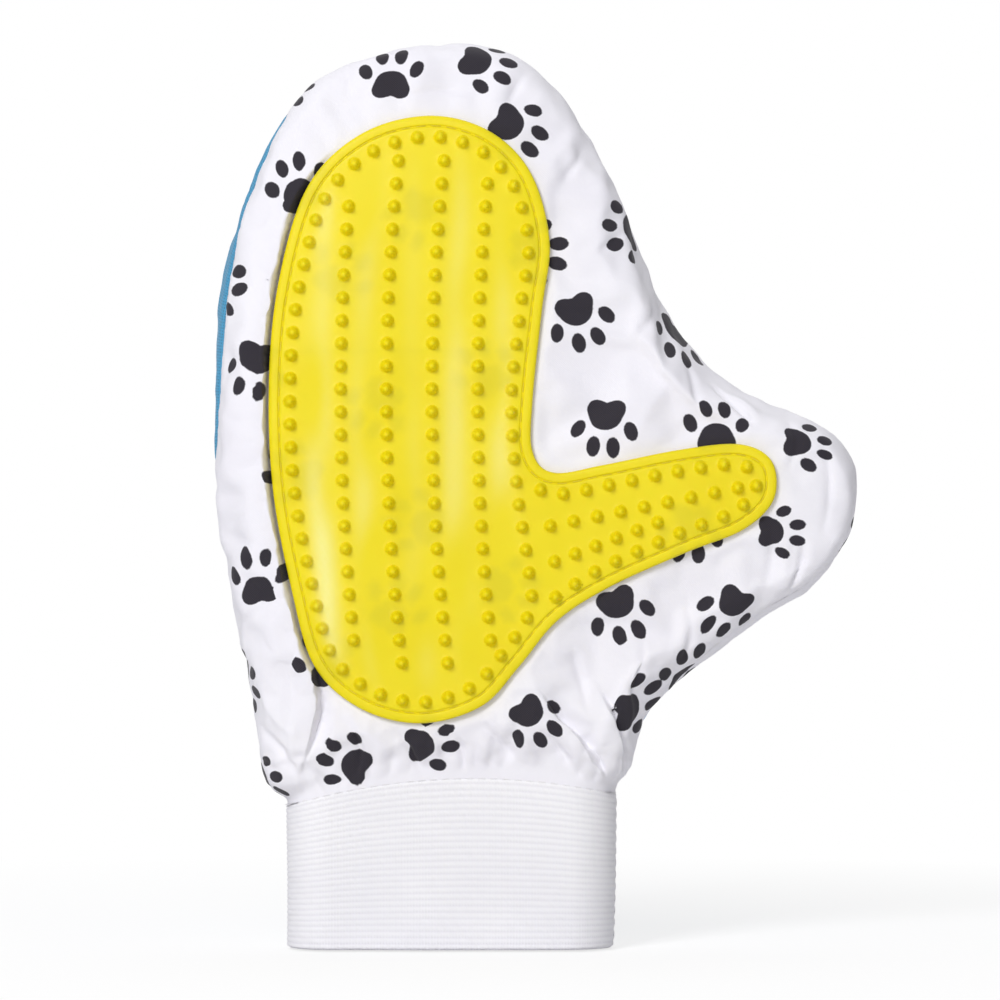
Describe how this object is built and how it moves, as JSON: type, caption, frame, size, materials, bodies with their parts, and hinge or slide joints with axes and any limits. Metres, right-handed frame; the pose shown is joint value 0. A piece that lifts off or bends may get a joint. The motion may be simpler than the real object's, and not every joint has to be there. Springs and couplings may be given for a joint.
{
  "type": "grooming glove",
  "caption": "Mitt-shaped pet grooming glove with a nubbed rubber palm pad, printed fabric front, knit back and ribbed cuff; fingers, thumb and wrist fold.",
  "frame": {"origin": "centre of the cuff's mouth, at its lower edge", "axes": "+Z from the cuff's mouth up to the fingertips, -Y out of the palm with its rubber pad, +Y out of the back, +X towards the thumb"},
  "size_m": [0.17, 0.0352, 0.2399],
  "materials": {
    "printed_cotton": "plain weave with a dark print",
    "blue_knit": "fine knit",
    "yellow_rubber": "soft satin",
    "rib_knit": "ribbed knit",
    "white_thread": "spun thread",
    "yellow_thread": "spun thread"
  },
  "bodies": {
    "palm": {"palm_panel": "printed_cotton", "back_panel": "blue_knit", "palm_pad": "yellow_rubber", "palm_pad_stitching": "yellow_thread", "palm_side_seam": "white_thread", "wrist_gather": "printed_cotton"},
    "fingers": {"finger_panel": "printed_cotton", "finger_back": "blue_knit", "finger_pad": "yellow_rubber", "finger_pad_stitching": "yellow_thread", "finger_side_seam": "white_thread"},
    "thumb": {"thumb_panel": "printed_cotton", "thumb_back": "printed_cotton", "thumb_pad": "yellow_rubber", "thumb_pad_stitching": "yellow_thread", "thumb_side_seam": "white_thread"},
    "cuff": {"cuff_knit": "rib_knit", "cuff_join_seam": "white_thread", "cuff_closing_seam": "white_thread"}
  },
  "joints": [
    {"name": "finger_fold", "type": "hinge", "parent": "palm", "child": "fingers", "pos_m": [0, -0.0203, 0.175], "axis": [1, 0, 0], "range_deg": [0, 50], "stiffness_Nm_per_rad": 0.03},
    {"name": "thumb_fold", "type": "hinge", "parent": "palm", "child": "thumb", "pos_m": [0.06421, -0.0203, 0.11], "axis": [-0.165, 0, -0.9863], "range_deg": [0, 45], "stiffness_Nm_per_rad": 0.01},
    {"name": "wrist_fold", "type": "hinge", "parent": "palm", "child": "cuff", "pos_m": [0, 0, 0.043], "axis": [1, 0, 0], "range_deg": [-35, 35], "deforming": ["wrist_gather"]}
  ]
}
